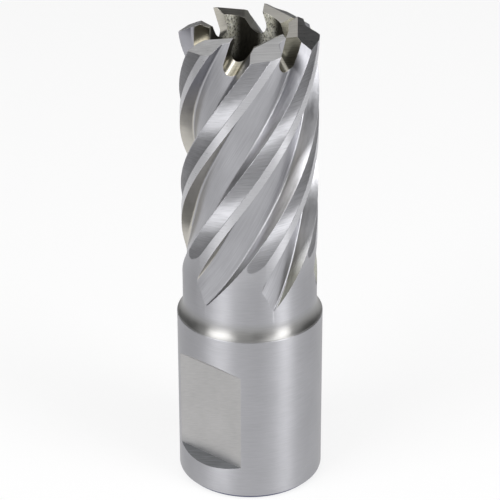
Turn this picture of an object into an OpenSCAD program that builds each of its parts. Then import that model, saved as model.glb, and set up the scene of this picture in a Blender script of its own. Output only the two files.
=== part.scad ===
// Annular cutter: a hollow core drill with a straight two-flat shank, helical flutes
// and stepped teeth, ground from one bar of high-speed steel.
// The shank stands on z = 0, the teeth point up, and the first drive flat faces -Y.

/* [Shank] */
// Diameter of the shank
shank_d = 19.05; // [19:0.05:25]
// Length of the shank, from its end face to its rim
shank_l = 23.6; // [21:0.1:40]
// Chamfer at the end of the shank
shank_chamfer = 0.5; // [0.2:0.1:1]
// Radius of the hollow fillet between the rim and the body
neck_fillet = 2.2; // [1.6:0.1:3.2]

/* [Drive flats] */
// Number of flats for the holder's set screws
flat_n = 2; // [1:1:3]
// Angle from one flat to the next
flat_spacing = 90; // [80:5:120]
// Depth of a flat below the shank's surface
flat_depth = 1.55; // [0.8:0.05:2.2]
// Height of a flat's floor above the shank's end
flat_start = 4.8; // [3.5:0.1:6]
// Length of a flat's floor
flat_l = 13.5; // [8:0.5:14.5]
// Slope of the flat's lower end, out of level
flat_lower_slope = 25; // [10:1:45]
// Slope of the flat's upper end, out of level
flat_upper_slope = 42; // [10:1:45]

/* [Body] */
// Cutting diameter, which is the body's too
cut_d = 17.5; // [16.5:0.1:18.5]
// Full length, from the shank's end to the tips of the teeth
overall_l = 63.8; // [58:0.1:90]

/* [Bores] */
// Diameter of the pilot pin's hole, through the shank
pilot_d = 6.4; // [5:0.05:8]
// Diameter of the bore that takes the slug
slug_d = 9.8; // [9:0.1:10.4]
// Depth of the slug's bore below the tips
slug_depth = 32; // [22:0.5:36]
// Point angle of the drill that sank the slug's bore
slug_point = 118; // [90:1:140]

/* [Flutes] */
// Number of teeth, each with its flute
tooth_n = 6; // [5:1:7]
// Rise of the right-hand helix in one full turn
flute_lead = 80; // [65:1:140]
// Depth of a flute's floor below the body
flute_depth = 1.9; // [1.3:0.05:2.2]
// Angle that a tooth's land takes on the body
land_angle = 23; // [18:0.5:28]
// Angle of the margin that is left at full diameter
margin_angle = 8; // [4:0.5:14]
// Depth of the relief behind the margin
relief_depth = 0.11; // [0.05:0.01:0.25]
// Fillet at the foot of the rake face
rake_fillet = 0.5; // [0.2:0.1:0.9]
// Slope of the heel wall, out of the radius
heel_slope = 15; // [5:1:25]
// Fillet at the foot of the heel wall
heel_fillet = 0.9; // [0.2:0.1:1]
// Height of the flutes' lower tips above the shank's rim
flute_end = 3.9; // [3:0.1:10]
// Length over which a flute runs out of the body
run_out = 10; // [6:0.5:16]
// Slant of the line where a flute leaves the body
exit_slant = 40; // [0:1:50]
// Height of the reliefs' lower ends above the shank's rim
relief_end = 9.6; // [6:0.1:16]
// Angle from the first flat to the first flute's edge, at full length
flute_turn = 14.7; // [0:0.1:60]

/* [Teeth] */
// Distance of a tooth's crest from the slug's bore
crest_in = 1.08; // [0.7:0.01:1.6]
// Fall of the crest's outer facet
outer_fall = 23.4; // [10:0.1:30]
// Fall of the crest's inner facet
inner_fall = 25; // [10:0.1:35]
// Clearance angle behind the cutting edges
clearance = 15; // [6:0.5:18]
// Lead of the inner cutting edge over the outer one
edge_lead = 1.38; // [0.8:0.01:1.8]
// Depth of a gullet below the tip, square to its floor
gullet_depth = 3.7; // [2.8:0.1:4.5]
// Slope of a gullet's floor, down and outwards
gullet_slope = 31; // [15:1:40]
// Hook of the gullet's cutting face
gullet_hook = 20.8; // [5:0.1:25]
// Radius of the gullet under the cutting face
gullet_r = 1; // [0.6:0.05:1.3]
// Radius of the gullet's sweep up to the next tooth
sweep_r = 1.3; // [1:0.05:1.8]
// Slope of that sweep
sweep_slope = 54; // [48:1:66]

/* [Hidden] */

shank_r = shank_d / 2;
cut_r = cut_d / 2;
slug_r = slug_d / 2;
pilot_r = pilot_d / 2;
crest_r = slug_r + crest_in;
pitch = 360 / tooth_n;
front = -90;
past = 1.2;

// Flute geometry, in a section with the flute's middle on +X and its heel towards +Y
half_flute = (pitch - land_angle) / 2;
relief_angle = land_angle - margin_angle;
floor_r = cut_r - flute_depth;
relief_r = cut_r - relief_depth;
outside_r = cut_r + past;
heel_foot_angle = half_flute - flute_depth * tan(heel_slope) / floor_r * 180 / PI;
heel_foot = polar(floor_r, heel_foot_angle);
heel_edge = polar(cut_r, half_flute);
heel_up = unit(heel_edge - heel_foot);
relief_ramp = 3;
relief_bow = 1.2;
relief_steps = 3;
arc_steps = 3;
floor_steps = 3;
slice_h = 1.6;
sweep_start = shank_l + flute_end - past;
sweep_slices = ceil((overall_l + 3 * past - sweep_start) / slice_h);

// The neck's hollow fillet leaves the narrower of shank and body, and ends at a level
// shoulder where the step between them is more than its radius
neck_step = shank_r - cut_r;
neck_reach = min(abs(neck_step), neck_fillet);
neck_sweep = acos(1 - neck_reach / neck_fillet);
neck_rise = neck_fillet * sin(neck_sweep);
neck_steps = 10;

gullet_steps = 6;
gullet_share = 8;
wedge_lap = 1;

// The outer corner of a tooth lies lower than its crest and so turns with the helix
corner_drop = (cut_r - crest_r) * tan(outer_fall);

// Angle of the first flute's cutting edge at a height
function edge_angle(z) = front + flute_turn - (overall_l - z) * 360 / flute_lead;

function unit(v) = v / norm(v);
function turn(v, a) = [v.x * cos(a) - v.y * sin(a), v.x * sin(a) + v.y * cos(a)];
function polar(r, a) = r * [cos(a), sin(a)];

// Arc of radius r about c, from angle a to angle b
function arc(c, r, a, b, steps) =
    [for (i = [0:steps]) c + polar(r, a + (b - a) * i / steps)];

// Fillet of radius r in the corner c between the directions u and v, turning clockwise
function fillet(c, u, v, r) =
    let (half = acos(u * v) / 2)
    let (middle = c + unit(u + v) * r / sin(half))
    let (first = c + u * r / tan(half) - middle)
    [for (i = [0:arc_steps]) middle + turn(first, (2 * half - 180) * i / arc_steps)];

// How far the flute and the relief have risen out of the body at a height
function flute_lift(z) =
    let (short = max(0, shank_l + flute_end + run_out - z))
    flute_depth * (short / run_out) ^ 2;
function relief_lift(z, share) =
    let (end = shank_l + relief_end + relief_bow * (2 * share - 1) ^ 2)
    let (short = max(0, end + relief_ramp - z))
    relief_depth * (short / relief_ramp) ^ 2;

// Height of a point of the section, which slants from the rake to the heel's edge and has
// its heel foot at height z
function level(p, z) = z + (heel_foot.y - min(p.y, heel_edge.y)) * tan(exit_slant);

// Point of the relief, a share of the way from the heel's edge to the margin
function relief_point(z, share) =
    let (a = half_flute + relief_angle * share)
    polar(relief_r + relief_lift(level(polar(cut_r, a), z), share), a);

// Outline of the flute and the relief behind it, round from the outside
function flute_outline(z) =
    let (lift = flute_lift(z))
    let (rounding = 1 - lift / (2 * flute_depth))
    let (rake_up = polar(1, -half_flute))
    let (rake_foot = polar(floor_r, -half_flute))
    let (rake = fillet(rake_foot, rake_up, turn(rake_up, 90), rake_fillet * rounding))
    let (heel = fillet(heel_foot, turn(unit(heel_foot), -90), heel_up, heel_fillet * rounding))
    let (sides = half_flute + heel_foot_angle)
    let (floor_line = [for (i = [1:floor_steps - 1]) polar(floor_r, i * sides / floor_steps - half_flute)])
    concat(
        [polar(outside_r + past, 0), polar(outside_r, -half_flute)],
        [for (p = concat(rake, floor_line, heel)) p + [lift, 0]],
        [for (i = [0:relief_steps]) relief_point(z, i / relief_steps)],
        [polar(norm(relief_point(z, 1)) + past, half_flute + relief_angle)]);

// A point of the outline, carried up or down to its place on the slanted section
function on_helix(p, z) = concat(turn(p, edge_angle(level(p, z)) + half_flute), [level(p, z)]);

// Outline of the neck, up from the shank's rim
function neck_outline() =
    let (inner = min(shank_r, cut_r) + neck_fillet)
    let (wide_shank = neck_step > 0)
    let (centre = [inner, wide_shank ? shank_l + neck_rise : shank_l])
    let (first = wide_shank ? 180 + neck_sweep : 180)
    let (shoulder = abs(neck_step) > neck_fillet)
    concat(
        shoulder && wide_shank ? [[shank_r, shank_l]] : [],
        arc(centre, neck_fillet, first, first - neck_sweep, neck_steps),
        shoulder && !wide_shank ? [[cut_r, shank_l + neck_rise]] : []);

// Blank as it leaves the lathe
module blank() {
    rotate_extrude($fn = 128)
        polygon(concat(
            [[0, 0], [shank_r - shank_chamfer, 0], [shank_r, shank_chamfer]],
            neck_outline(),
            [[cut_r, overall_l + past], [0, overall_l + past]]));
}

// Pilot hole and slug bore, one behind the other
module core() {
    slug_floor = overall_l - slug_depth;
    cone_h = (slug_r - pilot_r) / tan(slug_point / 2);
    rotate_extrude($fn = 128)
        polygon([
            [0, -past], [pilot_r, -past], [pilot_r, slug_floor - cone_h],
            [slug_r, slug_floor], [slug_r, overall_l + 2 * past], [0, overall_l + 2 * past]]);
}

// Cutter for one drive flat, facing +X
module drive_flat() {
    flat_x = shank_r - flat_depth;
    reach = flat_depth + past;
    rotate([90, 0, 0])
        linear_extrude(height = shank_d, center = true)
            polygon([
                [flat_x, flat_start],
                [flat_x + reach, flat_start - reach * tan(flat_lower_slope)],
                [flat_x + reach, flat_start + flat_l + reach * tan(flat_upper_slope)],
                [flat_x, flat_start + flat_l]]);
}

// Grinding path of the first flute, swept up the helix
module flute() {
    sections = [for (i = [0:sweep_slices])
        let (z = sweep_start + i * slice_h)
        [for (p = flute_outline(z)) on_helix(p, z)]];
    n = len(sections[0]);
    points = [for (s = sections) each s];
    sides = [for (i = [0:sweep_slices - 1], j = [0:n - 1])
        let (a = i * n + j)
        let (b = i * n + (j + 1) % n)
        each [[a, b, a + n], [b, b + n, a + n]]];
    last = sweep_slices * n;
    bottom = [for (j = [1:n - 2]) [0, j + 1, j]];
    top = [for (j = [1:n - 2]) [last, last + j, last + j + 1]];
    polyhedron(points, concat(sides, bottom, top));
}

// Places its children at a tooth, with +X along the outer edge and +Y the way it cuts
module at_tooth(i) {
    rotate([0, 0, edge_angle(overall_l - corner_drop) + i * pitch])
        children();
}

// Gullet in front of the inner cutting edge
module gullet() {
    centre_y = gullet_r - gullet_depth;
    centre = [centre_y * tan(gullet_hook) + gullet_r / cos(gullet_hook), centre_y];
    sweep_centre = [centre.x, sweep_r - gullet_depth];
    sweep_end = sweep_centre + polar(sweep_r, sweep_slope - 90);
    head = gullet_depth;
    translate([crest_r, edge_lead, overall_l])
        rotate([0, 90 + gullet_slope, 0])
            rotate([0, 0, 90])
                translate([0, 0, -crest_r])
                    linear_extrude(height = crest_r + cut_r)
                        polygon(concat(
                            [head * [tan(gullet_hook), 1]],
                            arc(centre, gullet_r, 180 - gullet_hook, 270, gullet_steps),
                            arc(sweep_centre, sweep_r, 270, 270 + sweep_slope, gullet_steps),
                            [[sweep_end.x + (head - sweep_end.y) / tan(sweep_slope), head]]));
}

// Space above a tooth's two relief facets, as far as the gullets on both sides
module above_tooth() {
    span = 2 * cut_r;
    lead_angle = atan(edge_lead / slug_r) + gullet_share;
    inner_r = slug_r / 2;
    intersection() {
        translate([crest_r, edge_lead, overall_l])
            rotate([clearance, 0, 0])
                rotate([90, 0, 0])
                    linear_extrude(height = 2 * span, center = true)
                        polygon([
                            [0, 0],
                            [span, -span * tan(outer_fall)],
                            [span, span],
                            [-span, span],
                            [-span, -span * tan(inner_fall)]]);
        translate([0, 0, overall_l - gullet_depth])
            rotate([0, 0, lead_angle - pitch - wedge_lap])
                linear_extrude(height = 3 * gullet_depth)
                    polygon([
                        polar(inner_r, 0),
                        polar(span, 0),
                        polar(span, pitch + 2 * wedge_lap),
                        polar(inner_r, pitch + 2 * wedge_lap)]);
    }
}

// The whole cutter, one piece
module annular_cutter() {
    color("silver")
        difference() {
            blank();
            core();
            for (i = [0:flat_n - 1])
                rotate([0, 0, front - i * flat_spacing]) drive_flat();
            for (i = [0:tooth_n - 1])
                rotate([0, 0, i * pitch]) flute();
            for (i = [0:tooth_n - 1])
                at_tooth(i) gullet();
            for (i = [0:tooth_n - 1])
                at_tooth(i) above_tooth();
        }
}

annular_cutter();
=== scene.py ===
import math

import bpy
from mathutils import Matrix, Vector


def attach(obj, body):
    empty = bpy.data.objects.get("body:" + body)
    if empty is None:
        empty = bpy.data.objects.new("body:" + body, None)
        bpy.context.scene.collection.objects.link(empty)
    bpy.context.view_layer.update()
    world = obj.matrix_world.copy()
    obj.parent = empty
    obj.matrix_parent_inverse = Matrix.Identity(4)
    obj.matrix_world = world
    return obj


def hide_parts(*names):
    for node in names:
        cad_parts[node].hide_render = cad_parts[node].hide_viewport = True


bl_info = {
    "name": "Annular Cutter",
    "version": (1, 0, 0),
    "blender": (4, 5, 0),
    "location": "View3D > Sidebar > Cutter",
    "description": "Models a ground annular cutter and the studio that it stands in",
    "category": "Add Mesh",
}

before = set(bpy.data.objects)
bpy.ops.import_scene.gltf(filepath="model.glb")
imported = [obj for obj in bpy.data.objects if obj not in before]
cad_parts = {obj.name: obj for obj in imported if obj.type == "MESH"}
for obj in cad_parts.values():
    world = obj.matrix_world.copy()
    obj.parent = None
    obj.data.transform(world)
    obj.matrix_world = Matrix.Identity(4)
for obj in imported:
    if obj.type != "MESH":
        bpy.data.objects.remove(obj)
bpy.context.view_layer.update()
NODE = "annular_cutter"
MM = 0.001
WHITE = (1, 1, 1, 1)

# The front is the side of the first drive flat, and a cutting tool reaches past what it cuts
FRONT = math.radians(-90)
SECOND_FLAT = math.radians(-90)
PAST = 1.2 * MM
RELIEF_PAST = math.radians(6)
ROOF_PAST = math.radians(8)
ROOF_LAP = math.radians(1)

# Segments of the modelled curves
BLANK_SIDES = 192
BORE_SIDES = 128
NECK_STEPS = 14
RAKE_STEPS = 5
HEEL_STEPS = 6
FLOOR_STEPS = 8
FLUTE_SLICES = 56
RELIEF_STEPS = 16
RAMP_STEPS = 8
RELIEF_SLICES = 44
GULLET_STEPS = 12

# Small forms, as shares of the chamfer, of the rim's rounding and of the relief's depth
CHAMFER_EASE = 0.1
CHAMFER_END = 1.25
RIM_EASE = 0.3
HOLLOW_MIDDLE = 1.3
HOLLOW_FALL = 0.9

# How far a face's normal leans where the face takes another finish
LEDGE_LEAN = -0.5
RAKE_LEAN = -0.55
HEEL_LEAN = 0.5
SWEEP_LEAN = 0.4
FACET_LEAN = -0.5
INNER_LEAN = 0.2

# Closing and smoothing of the finished surface
MERGE = 0.01 * MM
MOST_SIDES = 10
SMOOTH = math.radians(18)

# Finishes: grain lines are mixed with broad clouds, whose scale is in cells per millimetre
LINE_SHARE = 0.65
CLOUD_SHARE = 0.35
CLOUD_ACROSS = 0.22
CLOUD_ALONG = 0.16
CLOUD_DETAIL = 2.0
MIX_LOW = 0.3
MIX_HIGH = 0.7
ROUGH_SWING = 0.16
GRAIN_DEPTH = 0.1 * MM
EDGE_ROUND = 0.05 * MM
EDGE_SAMPLES = 4
QUARTER_TURN = 0.25

# Studio: places are an azimuth in degrees from the camera's side, with lengths in metres
FLOOR_SIZE = 4
MATT = 0.9
CARD_SHADE = (0.03, 0.03, 0.03, 1)
AIM = Vector((0, 0, 0.04))
SENSOR_MM = 36
PICTURE_PIXELS = 500
SHIFT_PIXELS = 0.27
LIGHTS = {
    "left_box": dict(azimuth=-51, distance=0.5, height=0.31, width=0.36, tall=0.42, power=2.3),
    "right_box": dict(azimuth=55, distance=0.5, height=0.25, width=0.20, tall=0.5, power=1.4),
    "top_box": dict(azimuth=58, distance=0.24, height=0.50, width=0.20, tall=0.20, power=0.45),
}
CARDS = {
    "right_card": dict(azimuth=122, distance=0.5, height=0.40, width=0.75, tall=0.8),
    "left_card": dict(azimuth=-132, distance=0.26, height=0.065, width=0.26, tall=0.13),
    "wing_card": dict(azimuth=-110, distance=0.35, height=0.20, width=0.17, tall=0.36),
    "side_card": dict(azimuth=-78, distance=0.2, height=0.035, width=0.18, tall=0.07),
    "low_card": dict(azimuth=180, distance=0.28, height=0.05, width=0.26, tall=0.10),
    "front_card": dict(azimuth=14, distance=0.5, height=0.33, width=0.17, tall=0.34),
}


def length(name, text, size):
    """A size property, given in millimetres."""
    return bpy.props.FloatProperty(
        name=name, description=text, default=size * MM, min=0, precision=3, unit="LENGTH"
    )


def angle(name, text, size):
    """An angle property, given in degrees."""
    return bpy.props.FloatProperty(
        name=name, description=text, default=math.radians(size), unit="ROTATION"
    )


def colour(name, text, red, green, blue):
    """A colour property."""
    return bpy.props.FloatVectorProperty(
        name=name, description=text, default=(red, green, blue, 1), size=4, min=0, max=1,
        subtype="COLOR",
    )


class ShankSizes(bpy.types.PropertyGroup):
    """Sizes of the shank, its flats and the neck"""

    shank_d: length("Shank diameter", "Diameter of the straight shank", 19.05)
    shank_l: length("Shank length", "From the end face to the rim", 23.6)
    chamfer: length("End chamfer", "Chamfer at the end of the shank", 0.5)
    rim_round: length("Rim rounding", "Broken edge at the rim", 0.08)
    neck_fillet: length("Neck fillet", "Radius of the hollow fillet above the rim", 2.2)
    flat_depth: length("Flat depth", "Depth of a drive flat", 1.55)
    flat_start: length("Flat start", "Height of a flat's floor above the end", 4.8)
    flat_l: length("Flat length", "Length of a flat's floor", 13.5)
    flat_lower_slope: angle("Lower slope", "Slope of a flat's lower end", 25)
    flat_upper_slope: angle("Upper slope", "Slope of a flat's upper end", 42)


class FluteSizes(bpy.types.PropertyGroup):
    """Sizes of the body, its bores and its flutes"""

    cut_d: length("Cutting diameter", "Diameter of the body and the margins", 17.5)
    overall_l: length("Full length", "From the shank's end to the tips", 63.8)
    pilot_d: length("Pilot hole", "Diameter of the hole through the shank", 6.4)
    slug_d: length("Slug bore", "Diameter of the bore inside the teeth", 9.8)
    slug_depth: length("Slug depth", "Depth of the slug bore below the tips", 32)
    slug_point: angle("Point angle", "Point angle at the slug bore's floor", 118)
    tooth_n: bpy.props.IntProperty(
        name="Teeth", description="Number of teeth and flutes", default=6, min=5, max=7
    )
    lead: length("Helix lead", "Rise of the helix in one turn", 80)
    depth: length("Flute depth", "Depth of a flute's floor", 1.9)
    land: angle("Land", "Angle that a land takes", 23)
    margin: angle("Margin", "Angle that is left at full diameter", 8)
    relief_depth: length("Relief depth", "Depth of the relief behind a margin", 0.11)
    rake_fillet: length("Rake fillet", "Fillet at the foot of the rake", 0.4)
    heel_slope: angle("Heel slope", "Slope of the heel wall", 15)
    heel_fillet: length("Heel fillet", "Fillet at the foot of the heel", 0.35)
    flute_end: length("Flute end", "Height of the flutes' lower tips above the rim", 3.9)
    run_out: length("Run-out", "Length over which a flute leaves the body", 10)
    exit_slant: angle("Exit slant", "Slant of the line where a flute ends", 40)
    relief_end: length("Relief end", "Height of the reliefs' lower ends above the rim", 9.0)
    relief_ramp: length("Relief ramp", "Length over which a relief leaves the body", 3.0)
    turn: angle("First flute", "Angle from the first flat to the first edge", 14.7)


class ToothSizes(bpy.types.PropertyGroup):
    """Sizes of the teeth and their gullets"""

    crest_in: length("Crest", "Distance of the crest from the slug bore", 1.08)
    outer_fall: angle("Outer fall", "Fall of the outer facet", 23.4)
    inner_fall: angle("Inner fall", "Fall of the inner facet", 25)
    clearance: angle("Clearance", "Clearance behind the cutting edges", 15)
    edge_lead: length("Edge lead", "Lead of the inner edge over the outer one", 1.38)
    gullet_depth: length("Gullet depth", "Depth of a gullet below the tip", 3.7)
    gullet_slope: angle("Gullet slope", "Slope of a gullet's floor", 31)
    gullet_hook: angle("Gullet hook", "Hook of the cutting face", 20.8)
    gullet_r: length("Gullet radius", "Radius under the cutting face", 1)
    sweep_r: length("Sweep radius", "Radius of the sweep to the next tooth", 1.3)
    sweep_slope: angle("Sweep slope", "Slope of that sweep", 54)


class SteelColours(bpy.types.PropertyGroup):
    """Colours of the ground steel"""

    turned: colour("Ground round", "Shank, body and margins", 0.43, 0.43, 0.452)
    margin: colour("Margin", "Margins at full diameter", 0.52, 0.52, 0.54)
    # Painted light: the colour of the light that falls into the slug bore, laid on in strips
    patch: colour("Bore patch", "Bright patches in the slug bore", 1.0, 0.94, 0.64)
    # Painted shade: a near-black blue tone on the end chamfer, where the shank meets the floor
    edge: colour("End edge", "Chamfer at the end of the shank", 0.03, 0.04, 0.11)
    # Painted shade: a darker tone of the ground steel in the hollow fillet above the rim
    neck: colour("Neck", "Hollow fillet above the rim", 0.335, 0.332, 0.326)
    flat: colour("Flat", "Milled drive flats", 0.455, 0.449, 0.447)
    # Painted shade: a darker copy of the milled steel on the lower slope of a flat
    ledge: colour("Ledge", "Lower slope of a flat", 0.25, 0.257, 0.268)
    floor: colour("Flute floor", "Floors of the flutes", 0.38, 0.38, 0.40)
    # Painted reflection: a light warm tone that stands in for the flute floor mirrored in the rake
    # faces
    rake: colour("Rake", "Rake faces of the flutes", 0.54, 0.52, 0.475)
    # Painted shade: a darker tone of the rake faces near the tips
    rake_top: colour("Rake at the teeth", "Rake faces near the tips", 0.36, 0.36, 0.39)
    heel: colour("Heel", "Heel walls of the flutes", 0.48, 0.48, 0.50)
    # Painted shade: a darker tone of the heel walls near the tips
    heel_top: colour("Heel at the teeth", "Heel walls near the tips", 0.34, 0.34, 0.36)
    # Painted shade: a dark tone of the heel walls where the flutes end
    heel_end: colour("Heel at the run-out", "Heel walls at the flutes' ends", 0.15, 0.15, 0.135)
    relief: colour("Relief", "Relieved lands", 0.43, 0.43, 0.45)
    facet: colour("Facet", "Outer facets of the teeth", 0.545, 0.543, 0.545)
    inner_facet: colour("Inner facet", "Inner facets of the teeth", 0.50, 0.485, 0.45)
    gullet: colour("Gullet", "Faces of the gullets", 0.50, 0.48, 0.42)
    # Painted shade: a near-black copy of the gullet steel on the gullet's rounded back
    sweep: colour("Gullet sweep", "Backs of the gullets", 0.14, 0.135, 0.11)
    # Painted shade: a near-black tone that stands in for the shade deep in the slug bore
    bore: colour("Bore", "Wall of the slug bore", 0.025, 0.023, 0.017)


class StudioSettings(bpy.types.PropertyGroup):
    """Floor, light and camera"""

    floor: colour("Floor", "Plain pale floor", 0.92, 0.92, 0.92)
    paper: bpy.props.FloatProperty(
        name="Paper white", description="Share of plain white in the floor's look", default=0.8,
        min=0, max=1, subtype="FACTOR",
    )
    sky: bpy.props.FloatProperty(
        name="Room light", description="Strength of the even light of the room", default=0.65, min=0
    )
    view_turn: angle("View turn", "Turn of the camera from the first flat", 40.5)
    view_distance: length("View distance", "Level distance of the camera from the axis", 262.2)
    view_height: length("View height", "Height of the camera above the floor", 166.2)
    view_pitch: angle("View pitch", "How far the camera looks down", 27.09)
    view_roll: angle("View roll", "Roll of the camera", -0.173)
    lens: bpy.props.FloatProperty(
        name="Lens", description="Focal length on a 36 mm sensor", default=164.0, min=1, unit="CAMERA"
    )


SETTINGS = {
    "cutter_shank": ShankSizes,
    "cutter_flutes": FluteSizes,
    "cutter_teeth": ToothSizes,
    "cutter_steel": SteelColours,
    "cutter_studio": StudioSettings,
}


class Wire:
    """A socket of a node tree that takes part in Python expressions."""

    def __init__(self, tree, socket=None):
        self.tree = tree
        self.socket = socket

    def add(self, kind, inputs, output=0, **settings):
        """Adds a node, sets it, feeds its sockets and gives one of its outputs."""
        node = self.tree.nodes.new(kind)
        for name, value in settings.items():
            setattr(node, name, value)
        for key, value in inputs.items():
            if isinstance(value, Wire):
                self.tree.links.new(value.socket, node.inputs[key])
            else:
                node.inputs[key].default_value = value
        return Wire(self.tree, node.outputs[output])

    def math(self, operation, *values):
        """A Math node on values or wires."""
        return self.add("ShaderNodeMath", dict(enumerate(values)), operation=operation)

    def __add__(self, other):
        return self.math("ADD", self, other)

    def __radd__(self, other):
        return self.math("ADD", other, self)

    def __sub__(self, other):
        return self.math("SUBTRACT", self, other)

    def __rsub__(self, other):
        return self.math("SUBTRACT", other, self)

    def __mul__(self, other):
        return self.math("MULTIPLY", self, other)

    def __rmul__(self, other):
        return self.math("MULTIPLY", other, self)

    def clamped(self, low, high):
        """0 at low and below, 1 at high and above."""
        return self.add(
            "ShaderNodeMapRange", {"Value": self, "From Min": low, "From Max": high}, clamp=True
        )

    def blend(self, first, second):
        """A colour between first and second, by this share."""
        return self.add("ShaderNodeMix", {0: self, 6: first, 7: second}, 2, data_type="RGBA")

    def joined(self, x, y, z):
        """A vector of three values or wires."""
        return self.add("ShaderNodeCombineXYZ", {0: x, 1: y, 2: z})

    def noise(self, detail, roughness=0.55):
        """Noise at this vector, with one cell to a unit."""
        return self.add(
            "ShaderNodeTexNoise",
            {"Vector": self, "Scale": 1.0, "Detail": detail, "Roughness": roughness},
        )


def tone(shade, share):
    """A shade made lighter or darker by a share."""
    return tuple(min(1.0, part * share) for part in shade[:3]) + (1.0,)


def place(wire):
    """The x, y and z of the point on the piece, in millimetres."""
    point = wire.add("ShaderNodeTexCoord", {}, "Object")
    axes = [wire.add("ShaderNodeSeparateXYZ", {0: point}, axis) for axis in "XYZ"]
    return [axis * (1 / MM) for axis in axes]


def rim_level():
    """Height of the shank's rim, in millimetres."""
    return bpy.context.scene.cutter_shank.shank_l / MM


def tip_level():
    """Height of the tips of the teeth, in millimetres."""
    return bpy.context.scene.cutter_flutes.overall_l / MM


def ring_grain(wire, x, y, z, along=0.5, across=9.0):
    """Fine rings round the axis, as a grinding wheel leaves them."""
    return wire.joined(x * along, y * along, z * across)


def cross_grain(wire, x, y, z, along=0.5, across=8.0, tilt=1.2):
    """Coarser lines across the lands."""
    return wire.joined(x * along, y * along, z * across - x * tilt)


def helix_grain(wire, x, y, z, across=55.0, along=0.25):
    """Streaks along the flutes."""
    lead = bpy.context.scene.cutter_flutes.lead / MM
    swing = wire.math("ARCTAN2", y, x) - z * (2 * math.pi / lead)
    return wire.joined(
        wire.math("COSINE", swing) * across, wire.math("SINE", swing) * across, z * along
    )


def slant_grain(wire, x, y, z, along=0.6, rise=0.35, across=6.0, tilt=2.2):
    """Fine slanting lines, as a face mill leaves them."""
    side = x - y
    return wire.joined(side * along + z * rise, z * across - side * tilt, 0.0)


def speckle(wire, x, y, z, across=5.0, along=1.6):
    """Rough patches that run up the wall."""
    return wire.joined(x * across, y * across, z * along)


def painted_neck_shade(wire, x, y, z, edge=0.05, full=0.9, end=2.4):
    """Painted shade: the hollow fillet takes a darker tone, which fades out into the body."""
    rim = rim_level()
    return z.clamped(rim - edge, rim + edge) * z.clamped(rim + end, rim + full)


def margin_zone(wire, x, y, z, start=7, full=15):
    """The margins, which get brighter above the flutes' run-out."""
    return z.clamped(rim_level() + start, rim_level() + full)


def painted_tip_shade(wire, x, y, z, start=12, full=6):
    """Painted shade: the walls of the flutes take a darker tone near the tips."""
    return z.clamped(tip_level() - start, tip_level() - full)


def painted_run_out_shade(wire, x, y, z, full=8, end=13):
    """Painted shade: the heel walls take a dark tone where the flutes leave the body."""
    return z.clamped(rim_level() + end, rim_level() + full)


def painted_ledge_shade(wire, x, y, z, above=1.5, below=0.3, across=0.9, along=0.4):
    """Painted shade: the lowest part of a flat, which darkens in noisy patches towards the lower
    slope.
    """
    start = bpy.context.scene.cutter_shank.flat_start / MM
    shade_noise = wire.joined((x - y) * across, z * along, 0.0).noise(detail=3.0)
    least = 0.3
    swing = 0.6
    return z.clamped(start + above, start - below) * (shade_noise * swing + least)


def painted_chamfer_shade(wire, x, y, z, full=0.8, end=1.1):
    """Painted shade: a near-black blue tone on the chamfer at the end of the shank, where it meets
    the floor.
    """
    chamfer = bpy.context.scene.cutter_shank.chamfer / MM
    return z.clamped(end * chamfer, full * chamfer)


def painted_bore_light(wire, x, y, z, deepest=7.0, full=4.8, across=5.0, along=3.5):
    """Painted light in the bore: strips where light falls in, one behind each tooth and only near the
    mouth, broken into rough specks.
    """
    first_strip = math.radians(101)
    strip_side = -0.45
    strip_middle = 0.85
    unlit_end = 0.39
    lit_end = 0.50
    count = bpy.context.scene.cutter_flutes.tooth_n
    turn = wire.math("ARCTAN2", y, x) - first_strip
    strips = wire.math("COSINE", turn * count).clamped(strip_side, strip_middle)
    mouth = z.clamped(tip_level() - deepest, tip_level() - full)
    specks = wire.joined(x * across, y * across, z * along).noise(detail=6.0, roughness=0.75)
    return strips * strips * mouth * specks.clamped(unlit_end, lit_end)


def steel(
    name, shade, grain, gloss, contrast, spread=0.0, bump=0.02, detail=3.0, metal=1.0, zones=()
):
    """A steel finish with a grain, whose roughness and shade follow the grain.

    Each zone is a mask that takes a point's x, y and z, with the shade and gloss it leads to.
    """
    material = bpy.data.materials.new(name)
    material.use_nodes = True
    tree = material.node_tree
    shader = tree.nodes["Principled BSDF"]
    wire = Wire(tree)
    x, y, z = place(wire)
    lines = grain(wire, x, y, z).noise(detail)
    clouds = wire.joined(x * CLOUD_ACROSS, y * CLOUD_ACROSS, z * CLOUD_ALONG).noise(CLOUD_DETAIL)
    share = (lines * LINE_SHARE + clouds * CLOUD_SHARE).clamped(MIX_LOW, MIX_HIGH)
    tint = share.blend(tone(shade, 1 - contrast), tone(shade, 1 + contrast))
    rough = lines * ROUGH_SWING + (gloss - ROUGH_SWING / 2)
    for mask, zone_shade, zone_gloss in zones:
        amount = mask(wire, x, y, z)
        zone_tint = share.blend(tone(zone_shade, 1 - contrast), tone(zone_shade, 1 + contrast))
        tint = amount.blend(tint, zone_tint)
        rough = rough + amount * (zone_gloss - gloss)
    edge = wire.add("ShaderNodeBevel", {"Radius": EDGE_ROUND}, samples=EDGE_SAMPLES)
    height = wire.add(
        "ShaderNodeBump",
        {"Strength": bump, "Distance": GRAIN_DEPTH, "Height": lines, "Normal": edge},
    )
    tree.links.new(tint.socket, shader.inputs["Base Color"])
    tree.links.new(rough.socket, shader.inputs["Roughness"])
    tree.links.new(height.socket, shader.inputs["Normal"])
    shader.inputs["Metallic"].default_value = metal
    shader.inputs["Anisotropic"].default_value = spread
    shader.inputs["Anisotropic Rotation"].default_value = QUARTER_TURN
    return material


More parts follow.
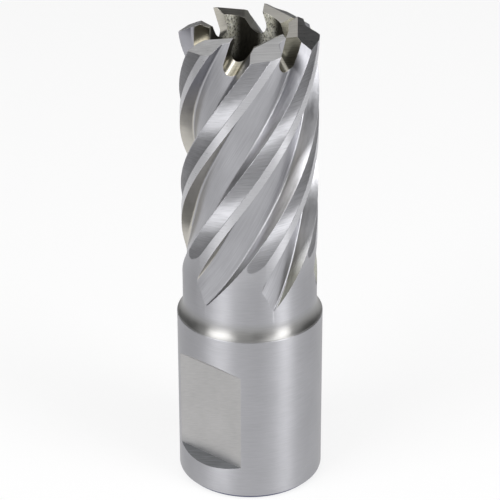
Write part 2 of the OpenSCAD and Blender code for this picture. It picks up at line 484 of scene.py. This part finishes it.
def make_finishes(colours):
    """The finishes of the cutter's faces."""
    turned_zones = (
        # Painted shade: the hollow fillet is darker than the rest of the ground steel
        (painted_neck_shade, colours.neck, 0.38),
        (margin_zone, colours.margin, 0.30),
        # Painted shade: the end chamfer turns near-black blue
        (painted_chamfer_shade, colours.edge, 0.36),
    )
    # Painted shade: the lowest part of a flat darkens towards the ledge
    flat_zones = ((painted_ledge_shade, colours.ledge, 0.38),)
    # Painted shade: the rake faces darken near the tips
    rake_zones = ((painted_tip_shade, colours.rake_top, 0.34),)
    # Painted shade: the heel walls darken at the run-out and near the tips
    heel_zones = ((painted_run_out_shade, colours.heel_end, 0.36), (painted_tip_shade, colours.heel_top, 0.40))
    # Painted light: strips of light in the slug bore
    bore_zones = ((painted_bore_light, colours.patch, 0.50),)
    return {
        "turned": steel(
            "turned_steel", colours.turned, ring_grain, gloss=0.42, contrast=0.09, spread=0.85,
            zones=turned_zones,
        ),
        "flat": steel(
            "milled_flat", colours.flat, slant_grain, gloss=0.42, contrast=0.10, zones=flat_zones
        ),
        # Painted shade: the ledge is a darker copy of the milled flat
        "ledge": steel("milled_ledge", colours.ledge, slant_grain, gloss=0.38, contrast=0.30),
        "floor": steel(
            "flute_floor", colours.floor, helix_grain, gloss=0.32, contrast=0.15, bump=0.01
        ),
        # Painted reflection: the rake's light warm tone stands in for the mirrored flute floor
        "rake": steel(
            "rake_face", colours.rake, helix_grain, gloss=0.34, contrast=0.16, bump=0.01,
            zones=rake_zones,
        ),
        "heel": steel(
            "heel_wall", colours.heel, helix_grain, gloss=0.32, contrast=0.26, bump=0.01,
            zones=heel_zones,
        ),
        "relief": steel(
            "land_relief", colours.relief, cross_grain, gloss=0.47, contrast=0.28, spread=1.0,
            bump=0.2,
        ),
        "facet": steel("tooth_facet", colours.facet, slant_grain, gloss=0.30, contrast=0.24),
        "inner_facet": steel(
            "inner_facet", colours.inner_facet, slant_grain, gloss=0.32, contrast=0.16
        ),
        "gullet": steel("gullet_face", colours.gullet, slant_grain, gloss=0.30, contrast=0.16),
        # Painted shade: the gullet's back is a near-black copy of the gullet steel
        "sweep": steel("gullet_sweep", colours.sweep, slant_grain, gloss=0.36, contrast=0.40),
        # Painted shade: the slug bore's wall is near black, with strips of painted light near the
        # mouth
        "bore": steel(
            "bore_wall", colours.bore, speckle, gloss=0.50, contrast=0.5, bump=0.5, detail=6.0,
            metal=0.6, zones=bore_zones,
        ),
    }


def deselect():
    """Leaves edit mode and selects nothing."""
    if bpy.context.mode != "OBJECT":
        bpy.ops.object.mode_set(mode="OBJECT")
    bpy.ops.object.select_all(action="DESELECT")


def pick(piece):
    """Makes one piece the only selected and the active one."""
    deselect()
    piece.select_set(True)
    bpy.context.view_layer.objects.active = piece


def draw_outline(name, points):
    """Draws a closed outline point by point, fills it and stays in edit mode."""
    deselect()
    bpy.ops.mesh.primitive_plane_add(size=MM)
    piece = bpy.context.active_object
    piece.name = name
    bpy.ops.object.mode_set(mode="EDIT")
    bpy.ops.mesh.select_all(action="SELECT")
    bpy.ops.mesh.merge(type="CENTER")
    bpy.ops.transform.translate(value=points[0])
    for first, second in zip(points, points[1:]):
        bpy.ops.mesh.extrude_vertices_move(TRANSFORM_OT_translate={"value": second - first})
    bpy.ops.mesh.select_all(action="SELECT")
    bpy.ops.mesh.edge_face_add()
    return piece


def end_solid():
    """Points the faces of the solid in edit mode outwards and leaves edit mode."""
    bpy.ops.mesh.select_all(action="SELECT")
    bpy.ops.mesh.normals_make_consistent(inside=False)
    bpy.ops.object.mode_set(mode="OBJECT")


def extrude(steps):
    """Extrudes the selected face along a chain of steps and closes the solid."""
    for step in steps:
        bpy.ops.mesh.extrude_region_move(TRANSFORM_OT_translate={"value": step})
    end_solid()


def lathe(name, rings, sides):
    """Turns a solid from the radius and height of each ring, from the bottom up."""
    deselect()
    radius, height = rings[0]
    bpy.ops.mesh.primitive_circle_add(
        vertices=sides, radius=radius, fill_type="NGON", location=(0, 0, height)
    )
    piece = bpy.context.active_object
    piece.name = name
    bpy.ops.object.transform_apply(location=True, rotation=True, scale=True)
    bpy.ops.object.mode_set(mode="EDIT")
    bpy.ops.mesh.select_all(action="SELECT")
    for next_radius, next_height in rings[1:]:
        bpy.ops.mesh.extrude_region_move(
            TRANSFORM_OT_translate={"value": (0, 0, next_height - height)}
        )
        share = next_radius / radius
        bpy.ops.transform.resize(value=(share, share, 1), center_override=(0, 0, 0))
        radius, height = next_radius, next_height
    end_solid()
    return piece


def turned_round(piece, turn):
    """Turns a piece about the axis and sets the turn into its mesh."""
    pick(piece)
    piece.rotation_euler = (0, 0, turn)
    bpy.ops.object.transform_apply(location=True, rotation=True, scale=True)


def copies_round(piece, count, spacing):
    """A piece and its copies round the axis."""
    pieces = [piece]
    for number in range(1, count):
        pick(piece)
        bpy.ops.object.duplicate(linked=False)
        copy = bpy.context.active_object
        turned_round(copy, number * spacing)
        pieces.append(copy)
    return pieces


def apply_modifier(piece, kind, **settings):
    """Adds a modifier, sets it and applies it."""
    pick(piece)
    modifier = piece.modifiers.new(kind.lower(), kind)
    for name, value in settings.items():
        setattr(modifier, name, value)
    bpy.ops.object.modifier_apply(modifier=modifier.name)


def dress(piece, finishes, parts, part_of):
    """Gives a cutting tool the finishes of its parts, which a face's normal tells apart."""
    for part in parts:
        piece.data.materials.append(finishes[part])
    for face in piece.data.polygons:
        face.material_index = parts.index(part_of(face.normal))


def cut(piece, cutters):
    """Cuts pieces out of a piece, which takes their finish on the cut faces."""
    tray = bpy.data.collections.new("cutters")
    bpy.context.scene.collection.children.link(tray)
    for cutter in cutters:
        for home in list(cutter.users_collection):
            home.objects.unlink(cutter)
        tray.objects.link(cutter)
    apply_modifier(
        piece, "BOOLEAN", operand_type="COLLECTION", collection=tray, operation="DIFFERENCE",
        solver="MANIFOLD", material_mode="TRANSFER",
    )
    for cutter in cutters:
        bpy.data.objects.remove(cutter)
    bpy.data.collections.remove(tray)


def close_up(piece):
    """Merges points that the cuts left almost touching, and makes sure that the piece is closed."""
    pick(piece)
    bpy.ops.object.mode_set(mode="EDIT")
    bpy.ops.mesh.select_mode(type="VERT")
    bpy.ops.mesh.select_all(action="SELECT")
    bpy.ops.mesh.remove_doubles(threshold=MERGE)
    bpy.ops.mesh.select_face_by_sides(number=MOST_SIDES, type="GREATER", extend=False)
    bpy.ops.mesh.quads_convert_to_tris(ngon_method="BEAUTY")
    bpy.ops.mesh.select_all(action="DESELECT")
    bpy.ops.mesh.select_non_manifold()
    bpy.ops.object.mode_set(mode="OBJECT")
    if any(vertex.select for vertex in piece.data.vertices):
        raise RuntimeError("The cutter's surface is not closed")


def polar(radius, turn):
    """A flat point at a radius and an angle."""
    return Vector((radius * math.cos(turn), radius * math.sin(turn), 0))


def turn_of(vector, turn):
    """A flat vector, turned by an angle."""
    return Vector(
        (
            vector.x * math.cos(turn) - vector.y * math.sin(turn),
            vector.x * math.sin(turn) + vector.y * math.cos(turn),
            0,
        )
    )


def arc(centre, radius, first, last, steps):
    """Points on an arc, from the first angle to the last."""
    return [centre + polar(radius, first + (last - first) * i / steps) for i in range(steps + 1)]


def fillet(corner, one, two, radius, steps):
    """Fillet in a corner between two directions, turning clockwise."""
    half = one.angle(two) / 2
    middle = corner + (one + two).normalized() * radius / math.sin(half)
    first = corner + one * radius / math.tan(half) - middle
    return [middle + turn_of(first, (2 * half - math.pi) * i / steps) for i in range(steps + 1)]


def tilt_down(point, centre, slope):
    """Tips a point down about a centre, in the plane of x and z."""
    out = point - centre
    tipped_x = out.x * math.cos(slope) + out.z * math.sin(slope)
    tipped_z = out.z * math.cos(slope) - out.x * math.sin(slope)
    return centre + Vector((tipped_x, out.y, tipped_z))


class Layout:
    """Values that several pieces of form share."""

    def __init__(self, scene):
        self.shank = scene.cutter_shank
        self.body = scene.cutter_flutes
        self.teeth = scene.cutter_teeth
        self.shank_r = self.shank.shank_d / 2
        self.cut_r = self.body.cut_d / 2
        self.slug_r = self.body.slug_d / 2
        self.pilot_r = self.body.pilot_d / 2
        self.crest_r = self.slug_r + self.teeth.crest_in
        self.top = self.body.overall_l
        self.rim = self.shank.shank_l
        self.pitch = 2 * math.pi / self.body.tooth_n
        self.half_flute = (self.pitch - self.body.land) / 2
        self.half_relief = (self.body.land - self.body.margin) / 2
        self.rise = 2 * math.pi / self.body.lead
        self.outside = self.cut_r + PAST
        self.tip = Vector((self.crest_r, self.teeth.edge_lead, self.top))

    def edge_angle(self, height):
        """Angle of the first flute's cutting edge at a height."""
        return FRONT + self.body.turn - (self.top - height) * self.rise

    def tooth_turn(self):
        """Angle of the first tooth's outer cutting edge."""
        drop = (self.cut_r - self.crest_r) * math.tan(self.teeth.outer_fall)
        return self.edge_angle(self.top - drop)

    def flute_lift(self, height):
        """How far a flute has risen out of the body at a height."""
        short = max(0, self.rim + self.body.flute_end + self.body.run_out - height)
        return self.body.depth * (short / self.body.run_out) ** 2


def blank_rings(plan):
    """Outline of the blank as it leaves the lathe."""
    size = plan.shank
    step = plan.shank_r - plan.cut_r
    sweep = math.acos(1 - step / size.neck_fillet)
    lift = size.neck_fillet * math.sin(sweep)
    centre_r = plan.cut_r + size.neck_fillet
    ease = CHAMFER_EASE * size.chamfer
    rim_ease = RIM_EASE * size.rim_round
    rings = [
        (plan.shank_r - size.chamfer, 0.0),
        (plan.shank_r - ease, size.chamfer - ease),
        (plan.shank_r, CHAMFER_END * size.chamfer),
        (plan.shank_r, plan.rim - size.rim_round),
        (plan.shank_r - rim_ease, plan.rim - rim_ease),
    ]
    for i in range(NECK_STEPS + 1):
        turn = sweep * (1 - i / NECK_STEPS)
        radius = centre_r - size.neck_fillet * math.cos(turn)
        height = plan.rim + lift - size.neck_fillet * math.sin(turn)
        rings.append((min(radius, plan.shank_r - size.rim_round), height))
    rings.append((plan.cut_r, plan.top + PAST))
    return rings


def make_blank(plan, finish):
    """The turned blank."""
    blank = lathe("cutter", blank_rings(plan), BLANK_SIDES)
    blank.data.materials.append(finish)
    return blank


def make_core(plan, finish):
    """Cutting tool for the pilot hole and the slug bore."""
    floor = plan.top - plan.body.slug_depth
    cone = (plan.slug_r - plan.pilot_r) / math.tan(plan.body.slug_point / 2)
    rings = [
        (plan.pilot_r, -PAST),
        (plan.pilot_r, floor - cone),
        (plan.slug_r, floor),
        (plan.slug_r, plan.top + 2 * PAST),
    ]
    core = lathe("core", rings, BORE_SIDES)
    core.data.materials.append(finish)
    return core


def flat_part(normal):
    """Part of a flat that a face of its cutting tool leaves."""
    return "ledge" if normal.z < LEDGE_LEAN else "flat"


def make_flat(plan, finishes):
    """Cutting tool for one drive flat, facing the front."""
    size = plan.shank
    inner = plan.shank_r - size.flat_depth
    reach = size.flat_depth + PAST
    low = size.flat_start
    high = size.flat_start + size.flat_l
    outline = [
        (inner, low),
        (inner + reach, low - reach * math.tan(size.flat_lower_slope)),
        (inner + reach, high + reach * math.tan(size.flat_upper_slope)),
        (inner, high),
    ]
    flat = draw_outline("flat", [Vector((x, -plan.shank_r, z)) for x, z in outline])
    extrude([(0, 2 * plan.shank_r, 0)])
    dress(flat, finishes, ("flat", "ledge"), flat_part)
    turned_round(flat, FRONT)
    return flat


def twist(plan, bar):
    """Twists an upright bar into the helix."""
    heights = [vertex.co.z for vertex in bar.data.vertices]
    apply_modifier(
        bar, "SIMPLE_DEFORM", deform_method="TWIST", deform_axis="Z",
        angle=plan.rise * (max(heights) - min(heights)),
    )


def relief_section(plan):
    """Section of a relief's cutting tool: hollow at the bottom, and past the body at the top."""
    section = []
    for i in range(RELIEF_STEPS + 1):
        share = 2 * i / RELIEF_STEPS - 1
        depth = plan.body.relief_depth * (HOLLOW_MIDDLE - HOLLOW_FALL * share ** 2)
        section.append(polar(plan.cut_r - depth, plan.half_relief * share))
    section.append(polar(plan.outside, plan.half_relief + RELIEF_PAST))
    section.append(polar(plan.outside, -plan.half_relief - RELIEF_PAST))
    return section


def make_relief(plan, finish):
    """Cutting tool for the relief of one land, behind its margin."""
    size = plan.body
    start = plan.rim + size.relief_end
    lift = 2 * size.relief_depth
    points = [Vector((point.x + lift, point.y, start)) for point in relief_section(plan)]
    moves = []
    for i in range(RAMP_STEPS):
        change = lift * ((1 - (i + 1) / RAMP_STEPS) ** 2 - (1 - i / RAMP_STEPS) ** 2)
        moves.append((change, 0, size.relief_ramp / RAMP_STEPS))
    step = (plan.top + PAST - start - size.relief_ramp) / RELIEF_SLICES
    moves += [(0, 0, step)] * RELIEF_SLICES
    bar = draw_outline("relief", points)
    extrude(moves)
    bar.data.materials.append(finish)
    twist(plan, bar)
    turned_round(bar, plan.edge_angle(0) + 2 * plan.half_flute + plan.half_relief)
    return bar


def flute_section(plan):
    """Section of a flute's cutting tool, and the foot of its heel wall."""
    size = plan.body
    floor_r = plan.cut_r - size.depth
    foot_turn = plan.half_flute - size.depth * math.tan(size.heel_slope) / floor_r
    heel_foot = polar(floor_r, foot_turn)
    heel_up = (polar(plan.cut_r, plan.half_flute) - heel_foot).normalized()
    heel_back = turn_of(heel_foot.normalized(), -math.pi / 2)
    rake_foot = polar(floor_r, -plan.half_flute)
    rake_up = polar(1, -plan.half_flute)
    rake_back = turn_of(rake_up, math.pi / 2)
    wide = foot_turn + plan.half_flute
    section = [polar(plan.outside + PAST, 0), polar(plan.outside, -plan.half_flute)]
    section += fillet(rake_foot, rake_up, rake_back, size.rake_fillet, RAKE_STEPS)
    for i in range(2, FLOOR_STEPS - 1):
        section.append(polar(floor_r, wide * i / FLOOR_STEPS - plan.half_flute))
    section += fillet(heel_foot, heel_back, heel_up, size.heel_fillet, HEEL_STEPS)
    section.append(heel_foot + heel_up * 2 * size.depth)
    return section, heel_foot


def flute_part(normal):
    """Part of a flute that a face of its cutting tool leaves."""
    if normal.y < RAKE_LEAN:
        return "rake"
    if normal.y > HEEL_LEAN:
        return "heel"
    return "floor"


def make_flute(plan, finishes):
    """Cutting tool for one flute: its section, swept up the body and twisted."""
    section, heel_foot = flute_section(plan)
    slant = math.tan(plan.body.exit_slant)
    start = plan.rim + plan.body.flute_end - PAST
    lift = plan.flute_lift(start)
    points = []
    for point in section:
        level = start + (heel_foot.y - point.y) * slant
        points.append(Vector((point.x + lift, point.y, level)))
    end = plan.top + 4 * PAST
    step = (end - start) / FLUTE_SLICES
    moves = []
    for i in range(FLUTE_SLICES):
        change = plan.flute_lift(start + (i + 1) * step) - plan.flute_lift(start + i * step)
        moves.append((change, 0, step))
    bar = draw_outline("flute", points)
    extrude(moves)
    dress(bar, finishes, ("floor", "rake", "heel"), flute_part)
    twist(plan, bar)
    turned_round(bar, plan.edge_angle(0) + plan.half_flute)
    return bar


def gullet_outline(size):
    """Outline of a gullet, seen along its floor: cutting face, round floor and sweep."""
    hook = size.gullet_hook
    low = size.gullet_r - size.gullet_depth
    centre = Vector((low * math.tan(hook) + size.gullet_r / math.cos(hook), low, 0))
    sweep_centre = Vector((centre.x, size.sweep_r - size.gullet_depth, 0))
    sweep_end = sweep_centre + polar(size.sweep_r, size.sweep_slope - math.pi / 2)
    head = size.gullet_depth
    run = (head - sweep_end.y) / math.tan(size.sweep_slope)
    down = 1.5 * math.pi
    outline = [Vector((head * math.tan(hook), head, 0))]
    outline += arc(centre, size.gullet_r, math.pi - hook, down, GULLET_STEPS)
    outline += arc(sweep_centre, size.sweep_r, down, down + size.sweep_slope, GULLET_STEPS)[1:]
    outline.append(Vector((sweep_end.x + run, head, 0)))
    return outline


def gullet_part(normal):
    """Part of a gullet that a face of its cutting tool leaves."""
    return "sweep" if normal.y > SWEEP_LEAN else "gullet"


def make_gullet(plan, finishes):
    """Cutting tool for one gullet, in front of the inner cutting edge."""
    slope = plan.teeth.gullet_slope
    points = []
    for point in gullet_outline(plan.teeth):
        upright = plan.tip + Vector((-plan.crest_r, point.x, point.y))
        points.append(tilt_down(upright, plan.tip, slope))
    reach = Vector((plan.crest_r + plan.cut_r, 0, 0))
    step = tilt_down(plan.tip + reach, plan.tip, slope) - plan.tip
    gullet = draw_outline("gullet", points)
    extrude([step])
    dress(gullet, finishes, ("gullet", "sweep"), gullet_part)
    turned_round(gullet, plan.tooth_turn())
    return gullet


def make_wedge(plan):
    """The sector of the teeth that one roof keeps to."""
    size = plan.teeth
    last = math.atan(size.edge_lead / plan.slug_r) + ROOF_PAST + ROOF_LAP
    first = last - plan.pitch - 2 * ROOF_LAP
    inner = plan.slug_r / 2
    outer = 2 * plan.cut_r
    low = Vector((0, 0, plan.top - size.gullet_depth))
    corners = [polar(inner, first), polar(outer, first), polar(outer, last), polar(inner, last)]
    wedge = draw_outline("wedge", [corner + low for corner in corners])
    extrude([(0, 0, 3 * size.gullet_depth)])
    return wedge


def roof_part(normal):
    """Facet of a tooth that a face of the roof leaves."""
    return "inner_facet" if normal.z < FACET_LEAN and normal.x > INNER_LEAN else "facet"


def make_roof(plan, finishes):
    """Cutting tool for the space above the two facets of one tooth."""
    size = plan.teeth
    span = 2 * plan.cut_r
    outline = [
        (0, 0),
        (span, -span * math.tan(size.outer_fall)),
        (span, span),
        (-span, span),
        (-span, -span * math.tan(size.inner_fall)),
    ]
    slope = Vector((0, math.cos(size.clearance), math.sin(size.clearance)))
    up = Vector((0, -math.sin(size.clearance), math.cos(size.clearance)))
    side = Vector((1, 0, 0))
    points = [plan.tip + side * across + up * rise - slope * span for across, rise in outline]
    roof = draw_outline("roof", points)
    extrude([slope * 2 * span])
    wedge = make_wedge(plan)
    apply_modifier(roof, "BOOLEAN", object=wedge, operation="INTERSECT", solver="EXACT")
    bpy.data.objects.remove(wedge)
    roof.data.materials.clear()
    dress(roof, finishes, ("facet", "inner_facet"), roof_part)
    turned_round(roof, plan.tooth_turn())
    return roof


class CUTTER_OT_make_cutter(bpy.types.Operator):
    """Models the cutter from one blank"""

    bl_idname = "cutter.make_cutter"
    bl_label = "Make the cutter"

    def execute(self, context):
        plan = Layout(context.scene)
        finishes = make_finishes(context.scene.cutter_steel)
        count = plan.body.tooth_n
        cutter = make_blank(plan, finishes["turned"])
        cut(cutter, copies_round(make_flat(plan, finishes), 2, SECOND_FLAT))
        cut(cutter, copies_round(make_relief(plan, finishes["relief"]), count, plan.pitch))
        cut(cutter, copies_round(make_flute(plan, finishes), count, plan.pitch))
        cut(cutter, [make_core(plan, finishes["bore"])])
        cut(cutter, copies_round(make_gullet(plan, finishes), count, plan.pitch))
        cut(cutter, copies_round(make_roof(plan, finishes), count, plan.pitch))
        close_up(cutter)
        bpy.ops.object.shade_smooth_by_angle(angle=SMOOTH)
        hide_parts(NODE)
        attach(cutter, "root")
        return {"FINISHED"}


def around(azimuth, distance, height):
    """A point round the cutter, at an angle from the camera's side."""
    turn = FRONT + bpy.context.scene.cutter_studio.view_turn + math.radians(azimuth)
    return Vector((distance * math.cos(turn), distance * math.sin(turn), height))


def make_floor(studio):
    """The plain pale floor, which shows as white paper with the cutter's shadow."""
    deselect()
    bpy.ops.mesh.primitive_grid_add(x_subdivisions=2, y_subdivisions=2, size=FLOOR_SIZE)
    floor = bpy.context.active_object
    floor.name = "floor"
    material = bpy.data.materials.new("pale_floor")
    material.use_nodes = True
    tree = material.node_tree
    shader = tree.nodes["Principled BSDF"]
    shader.inputs["Base Color"].default_value = studio.floor
    shader.inputs["Roughness"].default_value = MATT
    wire = Wire(tree)
    rays = [
        wire.add("ShaderNodeLightPath", {}, kind)
        for kind in ("Is Camera Ray", "Is Glossy Ray", "Is Transmission Ray")
    ]
    seen = wire.math("MINIMUM", rays[0] + rays[1] + rays[2], 1.0)
    paper = wire.add("ShaderNodeEmission", {"Color": WHITE, "Strength": 1.0})
    lit = Wire(tree, shader.outputs[0])
    mixed = wire.add("ShaderNodeMixShader", {0: seen * studio.paper, 1: lit, 2: paper})
    tree.links.new(mixed.socket, tree.nodes["Material Output"].inputs["Surface"])
    floor.data.materials.append(material)


def make_light(name, azimuth, distance, height, width, tall, power):
    """A soft box that looks at the middle of the cutter."""
    deselect()
    bpy.ops.object.light_add(type="AREA", location=around(azimuth, distance, height))
    light = bpy.context.active_object
    light.name = name
    light.data.shape = "RECTANGLE"
    light.data.size = width
    light.data.size_y = tall
    light.data.energy = power
    light.rotation_euler = (AIM - light.location).to_track_quat("-Z", "Y").to_euler()


def make_card(name, azimuth, distance, height, width, tall):
    """A dark card that gives the steel something to mirror, out of the camera's sight."""
    deselect()
    bpy.ops.mesh.primitive_grid_add(x_subdivisions=2, y_subdivisions=2, size=1)
    card = bpy.context.active_object
    card.name = name
    card.scale = (width, tall, 1)
    card.location = around(azimuth, distance, height)
    card.rotation_euler = (AIM - card.location).to_track_quat("Z", "Y").to_euler()
    material = bpy.data.materials.new(name)
    material.use_nodes = True
    shader = material.node_tree.nodes["Principled BSDF"]
    shader.inputs["Base Color"].default_value = CARD_SHADE
    shader.inputs["Roughness"].default_value = MATT
    card.data.materials.append(material)
    card.visible_camera = False


def make_world(studio):
    """Even white light from the room."""
    world = bpy.data.worlds.new("room")
    bpy.context.scene.world = world
    world.use_nodes = True
    background = world.node_tree.nodes["Background"]
    background.inputs["Color"].default_value = WHITE
    background.inputs["Strength"].default_value = studio.sky


def make_camera(studio):
    """The camera at the photograph's angle."""
    deselect()
    bpy.ops.object.camera_add(location=around(0, studio.view_distance, studio.view_height))
    camera = bpy.context.active_object
    camera.name = "camera"
    camera.data.lens = studio.lens
    camera.data.sensor_width = SENSOR_MM
    camera.data.shift_x = SHIFT_PIXELS / PICTURE_PIXELS
    camera.rotation_euler = (math.pi / 2 - studio.view_pitch, 0, studio.view_turn)
    camera.rotation_euler.rotate_axis("Z", studio.view_roll)
    bpy.context.scene.camera = camera


class CUTTER_OT_make_stage(bpy.types.Operator):
    """Sets up the floor, the light and the camera"""

    bl_idname = "cutter.make_stage"
    bl_label = "Make the stage"

    def execute(self, context):
        studio = context.scene.cutter_studio
        make_floor(studio)
        for name, setting in LIGHTS.items():
            make_light(name, **setting)
        for name, setting in CARDS.items():
            make_card(name, **setting)
        make_world(studio)
        make_camera(studio)
        context.scene.view_settings.view_transform = "Standard"
        if context.scene.camera is None:
            raise RuntimeError("The stage has no camera")
        return {"FINISHED"}


class CUTTER_PT_panel(bpy.types.Panel):
    """Lists the steps that make the cutter and its stage"""

    bl_idname = "CUTTER_PT_panel"
    bl_label = "Annular Cutter"
    bl_space_type = "VIEW_3D"
    bl_region_type = "UI"
    bl_category = "Cutter"

    def draw(self, context):
        for kind in OPERATORS:
            self.layout.operator(kind.bl_idname)
        for name, kind in SETTINGS.items():
            box = self.layout.box()
            box.label(text=kind.__doc__)
            for key in kind.__annotations__:
                box.prop(getattr(context.scene, name), key)


OPERATORS = (CUTTER_OT_make_cutter, CUTTER_OT_make_stage)
CLASSES = (*SETTINGS.values(), *OPERATORS, CUTTER_PT_panel)


def register():
    for kind in CLASSES:
        bpy.utils.register_class(kind)
    for name, kind in SETTINGS.items():
        setattr(bpy.types.Scene, name, bpy.props.PointerProperty(type=kind))


def unregister():
    for name in SETTINGS:
        delattr(bpy.types.Scene, name)
    for kind in reversed(CLASSES):
        bpy.utils.unregister_class(kind)


def main():
    register()
    bpy.ops.cutter.make_cutter()
    bpy.ops.cutter.make_stage()


if __name__ == "__main__":
    main()
